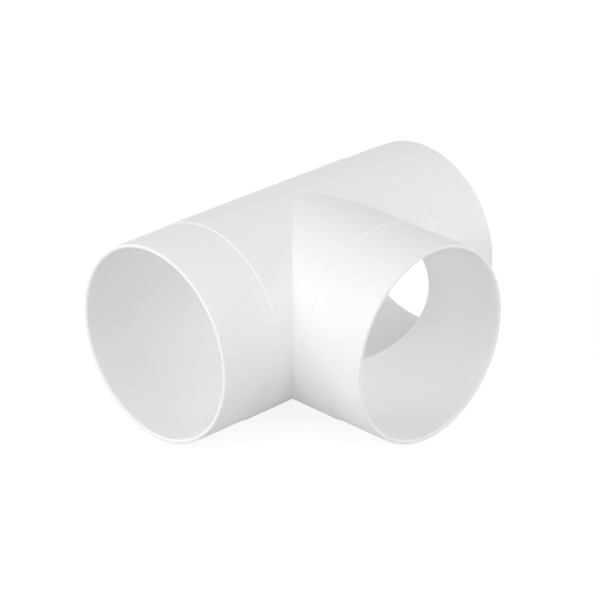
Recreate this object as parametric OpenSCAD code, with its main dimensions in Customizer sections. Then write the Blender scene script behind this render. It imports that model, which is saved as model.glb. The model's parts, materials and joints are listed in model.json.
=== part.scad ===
// Equal round duct tee, moulded in one piece.
// The run lies along X and the branch points along -Y; the three axes cross at the origin.
// Every arm ends in a spigot that a round duct slides over, as far as the shoulder.

/* [Duct] */
// Inside diameter of the duct that slides over each spigot
duct_bore = 100; // [80:1:160]
// Room between a spigot and the duct, on each side
slide_gap = 0.2; // [0.1:0.05:0.5]

/* [Barrels] */
// Wall thickness of a spigot, which sets the bore
spigot_wall = 2.4; // [1.5:0.1:4]
// Height of the shoulder that stops the duct, on each side
shoulder_step = 0.5; // [0.3:0.1:2]
// Length over which the shoulder slopes up to the barrel
shoulder_slope = 0.6; // [0.2:0.1:2]
// Plain length of barrel between the corner of the tee and a shoulder
neck_l = 7.6; // [2:0.1:40]

/* [Spigots] */
// Length of a spigot, from the foot of the shoulder to the mouth
spigot_l = 34.5; // [20:0.5:60]
// Length of the lead-in taper at the mouth
lead_in_l = 7.5; // [3:0.5:15]
// How much the lead-in taper takes off the radius
lead_in_drop = 0.3; // [0.1:0.05:0.6]
// Rounding of the outer edge of the mouth
outer_edge_r = 0.6; // [0.2:0.1:0.7]
// Rounding of the inner edge of the mouth
inner_edge_r = 1; // [0.2:0.1:1.4]

/* [Hidden] */
$fn = 180;
// Facets in a quarter round of a mouth's edge
edge_steps = 6;
// How far a cutter runs past the face that it opens
cut_past = 1;
// Least width of flat rim between the two roundings of a mouth
least_rim = 0.1;
spigot_r = duct_bore / 2 - slide_gap;
barrel_r = spigot_r + shoulder_step;
bore_r = spigot_r - spigot_wall;
mouth_r = spigot_r - lead_in_drop;
// The inner rounding stops short of the outer one where the wall is thin
inner_round = min(inner_edge_r, spigot_wall - lead_in_drop - outer_edge_r - least_rim);
// Distance from the crossing of the axes to a mouth
reach = barrel_r + neck_l + shoulder_slope + spigot_l;

// Points of an arc about a centre, from one angle to another
function arc(centre, r, from, to, steps) =
    [for (i = [0:steps]) let (a = from + (to - from) * i / steps) centre + r * [cos(a), sin(a)]];

// Outline of an arm from its barrel to its mouth, as radius and distance along the axis
function arm_outline() = concat(
    [[barrel_r, reach - spigot_l - shoulder_slope],
     [spigot_r, reach - spigot_l],
     [spigot_r, reach - lead_in_l]],
    arc([mouth_r - outer_edge_r, reach - outer_edge_r], outer_edge_r, 0, 90, edge_steps));

// Outline of the bore at a mouth, flared by the rounding of its edge
function bore_outline() = concat(
    arc([bore_r + inner_round, reach - inner_round], inner_round, 180, 90, edge_steps),
    [[bore_r + inner_round, reach + cut_past]]);

// The same outline seen in the crossing's other direction, from the mouth back to the barrel
function mirrored(outline) =
    [for (i = [len(outline) - 1:-1:0]) [outline[i].x, -outline[i].y]];

// A solid turned from an outline that runs along both arms of the run
module turned_run(outline) {
    last = outline[len(outline) - 1];
    rotate([0, 90, 0])
        rotate_extrude()
            polygon(concat([[0, -last.y]], mirrored(outline), outline, [[0, last.y]]));
}

// A solid turned from an outline that runs from the crossing of the axes along the branch
module turned_branch(outline) {
    last = outline[len(outline) - 1];
    rotate([90, 0, 0])
        rotate_extrude()
            polygon(concat([[0, 0], [outline[0].x, 0]], outline, [[0, last.y]]));
}

module duct_tee() {
    color("white")
        difference() {
            union() {
                turned_run(arm_outline());
                turned_branch(arm_outline());
            }
            turned_run(bore_outline());
            turned_branch(bore_outline());
        }
}

duct_tee();
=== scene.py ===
"""Round duct tee: one white plastic moulding, lying on its side on a pale studio floor.

The run lies along X, the branch points along -Y, and the axes cross at the origin.
"""
import json
import math

import bpy
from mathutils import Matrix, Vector


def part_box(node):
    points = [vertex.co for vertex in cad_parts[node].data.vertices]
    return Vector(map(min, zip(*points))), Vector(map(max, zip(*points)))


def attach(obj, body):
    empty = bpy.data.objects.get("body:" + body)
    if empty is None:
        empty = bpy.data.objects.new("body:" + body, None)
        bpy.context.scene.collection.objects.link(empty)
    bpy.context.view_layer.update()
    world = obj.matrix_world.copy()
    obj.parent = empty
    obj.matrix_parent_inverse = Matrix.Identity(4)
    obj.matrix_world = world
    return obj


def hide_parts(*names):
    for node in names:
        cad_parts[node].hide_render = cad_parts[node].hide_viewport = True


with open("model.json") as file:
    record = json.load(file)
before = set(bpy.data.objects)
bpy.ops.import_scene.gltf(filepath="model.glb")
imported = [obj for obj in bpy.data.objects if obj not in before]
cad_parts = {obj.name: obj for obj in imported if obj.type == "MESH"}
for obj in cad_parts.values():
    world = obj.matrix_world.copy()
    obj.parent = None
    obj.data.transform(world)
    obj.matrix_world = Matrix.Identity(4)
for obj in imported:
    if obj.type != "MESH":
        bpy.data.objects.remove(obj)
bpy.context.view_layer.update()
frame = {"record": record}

# Sizes that the frame gives, in metres
MM = 0.001
mounts = {m["name"]: m for m in frame["record"]["mounts"]}
low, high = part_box("duct_tee")
spigot = mounts["spigot_branch"]
spigot_middle = Vector(spigot["pos_m"]).length
spigot_straight = spigot["dims"]["length_mm"] * MM
REACH = high.x
BARREL_R = high.z
SPIGOT_R = spigot["dims"]["r_mm"] * MM
BORE_R = mounts["run_bore"]["dims"]["r_mm"] * MM
SHOULDER_FOOT = spigot_middle - spigot_straight / 2
LEAD_IN_START = spigot_middle + spigot_straight / 2

# Sizes of the moulded detail, in metres
SHOULDER_SLOPE = 0.6 * MM
SHOULDER_EDGE_R = 0.15 * MM
LEAD_IN_DROP = 0.3 * MM
LEAD_IN_EASE = 1.2 * MM
OUTER_EDGE_R = 0.6 * MM
INNER_EDGE_R = 1.0 * MM

# How finely the turned faces are divided, and what counts as one place or as a crisp edge
SIDES = 256
EDGE_STEPS = 6
WELD = 0.001 * MM
CUT_TOLERANCE = WELD / 10
CREASE = math.radians(30)

# The branch and the two arms of the run, each by the way its mouth points
BRANCH = Vector((0, -1, 0))
LEFT = Vector((-1, 0, 0))
RIGHT = Vector((1, 0, 0))

# The plastic: its warm white and its gloss each vary a little, in wide soft patches, over a fine grain
DULLER_WHITE = (0.918, 0.911, 0.906, 1)
BRIGHTER_WHITE = (0.938, 0.931, 0.926, 1)
PLASTIC_ROUGHNESS = (0.54, 0.46)
PLASTIC_IOR = 1.5
PATCH_SIZE = 18 * MM
PATCH_DETAIL = 2
GRAIN_SIZE = 0.4 * MM
GRAIN_DETAIL = 3
GRAIN_DEPTH = 0.02 * MM
GRAIN_STRENGTH = 0.05

# The floor: what it gives back to the tee, how much of its look is shadow, and its own white
FLOOR_SIZE = 8
FLOOR_BOUNCE = (0.6, 0.6, 0.6, 1)
FLOOR_SHADOW = (0.25, 0.25, 0.25, 1)
FLOOR_WHITE = 0.85

# The softboxes round the tee, each with its azimuth, elevation and power, and the fill from all round
LAMP_DISTANCE = 2.0
LAMP_SIZE = 0.9
SOFTBOXES = {
    "left_front_softbox": (60, 8, 5.2),
    "left_softbox": (90, 30, 7.5),
    "left_back_softbox": (120, 30, 9),
    "front_softbox": (0, 30, 6.5),
    "right_front_low_softbox": (300, 8, 7.5),
    "right_front_high_softbox": (330, 30, 3.5),
    "back_softbox": (150, 8, 5),
}
FILL = 0.43
# How often light passes between the walls inside the tee
WALL_BOUNCES = 12
# The colour of the fill and of what surrounds the floor
WHITE = (1, 1, 1, 1)

# The camera of the photograph, which looks between the left and branch mouths
IMAGE_SIDE = 600
SENSOR = 36.0
FOCAL_PIXELS = 2632.0
CAMERA_DISTANCE = 1.299
CAMERA_AZIMUTH = 44.8
CAMERA_ELEVATION = 24.85
CROSSING_AT = (292.8, 286.5)


def deselect_all():
    bpy.ops.object.select_all(action="DESELECT")


def in_edit_mode(piece, select="SELECT"):
    """Opens a piece for editing, with all or nothing of it selected."""
    bpy.context.view_layer.objects.active = piece
    bpy.ops.object.mode_set(mode="EDIT")
    bpy.ops.mesh.select_all(action=select)


def arc(radius, distance, r, start, end, steps):
    """Points of a quarter round in an outline, as radius and distance along the arm."""
    turns = [math.radians(start + (end - start) * i / steps) for i in range(steps + 1)]
    return [(radius + r * math.cos(t), distance + r * math.sin(t)) for t in turns]


def rounded_corner(before, corner, after, r):
    """Two points that take the place of a corner of an outline, each a length r from it."""
    corner = Vector(corner)
    towards = [(Vector(p) - corner).normalized() for p in (before, after)]
    return [tuple(corner + way * r) for way in towards]


def arm_outline():
    """The section of an arm: out along the barrel and spigot, round the mouth and back down the bore."""
    barrel_end = (BARREL_R, SHOULDER_FOOT - SHOULDER_SLOPE)
    foot = (SPIGOT_R, SHOULDER_FOOT)
    crossing = (BARREL_R, 0.0)
    lead_in = (SPIGOT_R, LEAD_IN_START)
    mouth_r = SPIGOT_R - LEAD_IN_DROP
    ease_drop = LEAD_IN_DROP * LEAD_IN_EASE / (REACH - LEAD_IN_START)
    shoulder = rounded_corner(crossing, barrel_end, foot, SHOULDER_EDGE_R)
    shoulder += rounded_corner(barrel_end, foot, lead_in, SHOULDER_EDGE_R)
    # The taper sets in along a parabola, which has dropped by a quarter when it is half way
    ease = [(SPIGOT_R, LEAD_IN_START - LEAD_IN_EASE),
            (SPIGOT_R - ease_drop / 4, LEAD_IN_START),
            (SPIGOT_R - ease_drop, LEAD_IN_START + LEAD_IN_EASE)]
    outer_edge = arc(mouth_r - OUTER_EDGE_R, REACH - OUTER_EDGE_R, OUTER_EDGE_R, 0, 90, EDGE_STEPS)
    inner_edge = arc(BORE_R + INNER_EDGE_R, REACH - INNER_EDGE_R, INNER_EDGE_R, 90, 180, EDGE_STEPS)
    return [crossing, *shoulder, *ease, *outer_edge, *inner_edge, (BORE_R, 0.0)]


def moulded_arm(name, way):
    """An arm as a ring that is drawn out of the crossing, along its outline, and back inside."""
    outline = arm_outline()
    radius, distance = outline[0]
    bpy.ops.mesh.primitive_circle_add(vertices=SIDES, radius=radius, location=way * distance,
                                      rotation=way.to_track_quat("Z", "Y").to_euler())
    arm = bpy.context.object
    arm.name = name
    bpy.ops.object.transform_apply(location=True, rotation=True, scale=True)
    in_edit_mode(arm)
    for next_radius, next_distance in outline[1:]:
        bpy.ops.mesh.extrude_region_move(
            TRANSFORM_OT_translate={"value": way * (next_distance - distance)})
        bpy.ops.transform.resize(value=(next_radius / radius,) * 3,
                                 center_override=way * next_distance)
        radius, distance = next_radius, next_distance
    bpy.ops.object.mode_set(mode="OBJECT")
    return arm


def mitre(arm, normal):
    """Cuts away what lies on the side of the mitre plane that the normal points to."""
    in_edit_mode(arm)
    bpy.ops.mesh.bisect(plane_co=(0, 0, 0), plane_no=normal, clear_outer=True, threshold=CUT_TOLERANCE)
    bpy.ops.object.mode_set(mode="OBJECT")


def is_on_mitre(vertex):
    """Whether a vertex lies where the branch and an arm of the run meet."""
    x, y, _ = vertex.co
    return y < WELD and abs(abs(x) + y) < WELD


def tee_moulding():
    """The whole tee: three arms, mitred at the crossing and welded into one closed wall."""
    deselect_all()
    branch = moulded_arm("tee_moulding", BRANCH)
    mitre(branch, (1, 1, 0))
    mitre(branch, (-1, 1, 0))
    left = moulded_arm("left_arm", LEFT)
    mitre(left, (1, -1, 0))
    right = moulded_arm("right_arm", RIGHT)
    mitre(right, (-1, -1, 0))
    for arm in (left, right, branch):
        arm.select_set(True)
    bpy.context.view_layer.objects.active = branch
    bpy.ops.object.join()
    in_edit_mode(branch)
    bpy.ops.mesh.remove_doubles(threshold=WELD)
    bpy.ops.mesh.normals_make_consistent(inside=False)
    bpy.ops.object.mode_set(mode="OBJECT")
    bpy.ops.object.shade_smooth_by_angle(angle=CREASE)
    sharpen_mitre(branch)
    weigh_normals(branch)
    return branch


def sharpen_mitre(tee):
    """The corner between the branch and the run stays crisp all the way up."""
    mesh = tee.data
    for edge in mesh.edges:
        if all(is_on_mitre(mesh.vertices[v]) for v in edge.vertices):
            edge.use_edge_sharp = True


def weigh_normals(tee):
    """Wide faces keep their own shading beside the small rounded edges."""
    deselect_all()
    tee.select_set(True)
    bpy.context.view_layer.objects.active = tee
    weigh = tee.modifiers.new("weigh_normals", "WEIGHTED_NORMAL")
    weigh.keep_sharp = True
    bpy.ops.object.modifier_apply(modifier=weigh.name)


def new_material(name):
    """A node material with only its output, and the tools to add to it."""
    material = bpy.data.materials.new(name)
    material.use_nodes = True
    tree = material.node_tree
    tree.nodes.clear()
    output = tree.nodes.new("ShaderNodeOutputMaterial")
    return material, tree, output


def noise(tree, coordinates, size, detail):
    """A noise whose blotches are about the given size across."""
    texture = tree.nodes.new("ShaderNodeTexNoise")
    texture.inputs["Scale"].default_value = 1 / size
    texture.inputs["Detail"].default_value = detail
    tree.links.new(coordinates, texture.inputs["Vector"])
    return texture.outputs["Fac"]


def ranged(tree, value, low_value, high_value):
    """A value from 0 to 1, spread over another range."""
    spread = tree.nodes.new("ShaderNodeMapRange")
    spread.inputs["To Min"].default_value = low_value
    spread.inputs["To Max"].default_value = high_value
    tree.links.new(value, spread.inputs["Value"])
    return spread.outputs["Result"]


def blended(tree, value, low_colour, high_colour):
    """A value from 0 to 1, as a colour between two others."""
    ramp = tree.nodes.new("ShaderNodeValToRGB")
    for stop, colour in zip(ramp.color_ramp.elements, (low_colour, high_colour)):
        stop.color = colour
    tree.links.new(value, ramp.inputs["Fac"])
    return ramp.outputs["Color"]


def white_plastic():
    """Satin white moulded plastic: a white and a soft gloss that are a little uneven, and a fine grain."""
    material, tree, output = new_material("white_plastic")
    surface = tree.nodes.new("ShaderNodeBsdfPrincipled")
    coordinates = tree.nodes.new("ShaderNodeTexCoord").outputs["Object"]
    surface.inputs["IOR"].default_value = PLASTIC_IOR
    patches = noise(tree, coordinates, PATCH_SIZE, PATCH_DETAIL)
    tree.links.new(blended(tree, patches, DULLER_WHITE, BRIGHTER_WHITE), surface.inputs["Base Color"])
    tree.links.new(ranged(tree, patches, *PLASTIC_ROUGHNESS), surface.inputs["Roughness"])
    grain = noise(tree, coordinates, GRAIN_SIZE, GRAIN_DETAIL)
    bump = tree.nodes.new("ShaderNodeBump")
    bump.inputs["Strength"].default_value = GRAIN_STRENGTH
    bump.inputs["Distance"].default_value = GRAIN_DEPTH
    tree.links.new(grain, bump.inputs["Height"])
    tree.links.new(bump.outputs["Normal"], surface.inputs["Normal"])
    tree.links.new(surface.outputs["BSDF"], output.inputs["Surface"])
    return material


def seen_directly(tree):
    """Is 1 for the rays that show a surface to the camera, also by gloss or through glass."""
    path = tree.nodes.new("ShaderNodeLightPath")
    seen = path.outputs["Is Camera Ray"]
    for kind in ("Is Glossy Ray", "Is Transmission Ray"):
        either = tree.nodes.new("ShaderNodeMath")
        either.operation = "MAXIMUM"
        tree.links.new(seen, either.inputs[0])
        tree.links.new(path.outputs[kind], either.inputs[1])
        seen = either.outputs["Value"]
    return seen


def mixed(tree, factor, unseen, seen):
    """One shader where the factor is 0 and another where it is 1."""
    mix = tree.nodes.new("ShaderNodeMixShader")
    tree.links.new(factor, mix.inputs[0])
    tree.links.new(unseen, mix.inputs[1])
    tree.links.new(seen, mix.inputs[2])
    return mix.outputs["Shader"]


def pale_floor():
    """A floor that looks white, apart from the tee's soft shadow, and lights the tee as a pale one."""
    material, tree, output = new_material("pale_floor")
    bounce = tree.nodes.new("ShaderNodeBsdfDiffuse")
    bounce.inputs["Color"].default_value = FLOOR_BOUNCE
    shadow = tree.nodes.new("ShaderNodeBsdfDiffuse")
    shadow.inputs["Color"].default_value = FLOOR_SHADOW
    white = tree.nodes.new("ShaderNodeEmission")
    white.inputs["Strength"].default_value = FLOOR_WHITE
    look = tree.nodes.new("ShaderNodeAddShader")
    tree.links.new(shadow.outputs["BSDF"], look.inputs[0])
    tree.links.new(white.outputs["Emission"], look.inputs[1])
    surface = mixed(tree, seen_directly(tree), bounce.outputs["BSDF"], look.outputs["Shader"])
    tree.links.new(surface, output.inputs["Surface"])
    return material


def studio_floor():
    """The floor that the tee lies on."""
    bpy.ops.mesh.primitive_plane_add(size=FLOOR_SIZE, location=(0, 0, low.z))
    floor = bpy.context.object
    floor.name = "floor"
    floor.data.materials.append(pale_floor())


def look_towards(camera_or_lamp, target):
    """Turns a camera or a lamp so that it points at a place."""
    way = target - camera_or_lamp.location
    camera_or_lamp.rotation_euler = way.to_track_quat("-Z", "Y").to_euler()


def from_direction(azimuth, elevation, distance):
    """A point seen from the origin at an azimuth that turns from -Y towards -X."""
    a, e = math.radians(azimuth), math.radians(elevation)
    return distance * Vector((-math.sin(a) * math.cos(e), -math.cos(a) * math.cos(e), math.sin(e)))


def photo_camera():
    """The photograph's camera, aimed at the crossing and shifted to frame it as the photograph does."""
    bpy.ops.object.camera_add(location=from_direction(CAMERA_AZIMUTH, CAMERA_ELEVATION, CAMERA_DISTANCE))
    camera = bpy.context.object
    camera.name = "photo_camera"
    look_towards(camera, Vector((0, 0, 0)))
    camera.data.sensor_width = SENSOR
    camera.data.lens = FOCAL_PIXELS * SENSOR / IMAGE_SIDE
    camera.data.shift_x = (IMAGE_SIDE / 2 - CROSSING_AT[0]) / IMAGE_SIDE
    camera.data.shift_y = (CROSSING_AT[1] - IMAGE_SIDE / 2) / IMAGE_SIDE
    bpy.context.scene.camera = camera


def soft_lamp(name, azimuth, elevation, power):
    """A round softbox that faces the tee."""
    bpy.ops.object.light_add(type="AREA", location=from_direction(azimuth, elevation, LAMP_DISTANCE))
    lamp = bpy.context.object
    lamp.name = name
    lamp.data.shape = "DISK"
    lamp.data.size = LAMP_SIZE
    lamp.data.energy = power
    look_towards(lamp, Vector((0, 0, 0)))


def white_surround(strength):
    """A world that is white to look at, and lights the tee with the given strength."""
    world = bpy.data.worlds.new("studio")
    bpy.context.scene.world = world
    world.use_nodes = True
    tree = world.node_tree
    output = tree.nodes["World Output"]
    fill = tree.nodes["Background"]
    fill.inputs["Color"].default_value = WHITE
    fill.inputs["Strength"].default_value = strength
    white = tree.nodes.new("ShaderNodeBackground")
    white.inputs["Color"].default_value = WHITE
    surround = mixed(tree, seen_directly(tree), fill.outputs["Background"], white.outputs["Background"])
    tree.links.new(surround, output.inputs["Surface"])


def studio_light():
    """Soft light from all round, with enough bounces to reach into the bores."""
    for name, (azimuth, elevation, power) in SOFTBOXES.items():
        soft_lamp(name, azimuth, elevation, power)
    white_surround(FILL)
    bpy.context.scene.cycles.diffuse_bounces = WALL_BOUNCES


tee = tee_moulding()
tee.data.materials.append(white_plastic())
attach(tee, "root")
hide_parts("duct_tee")
studio_floor()
studio_light()
photo_camera()
bpy.context.scene.view_settings.view_transform = "Standard"
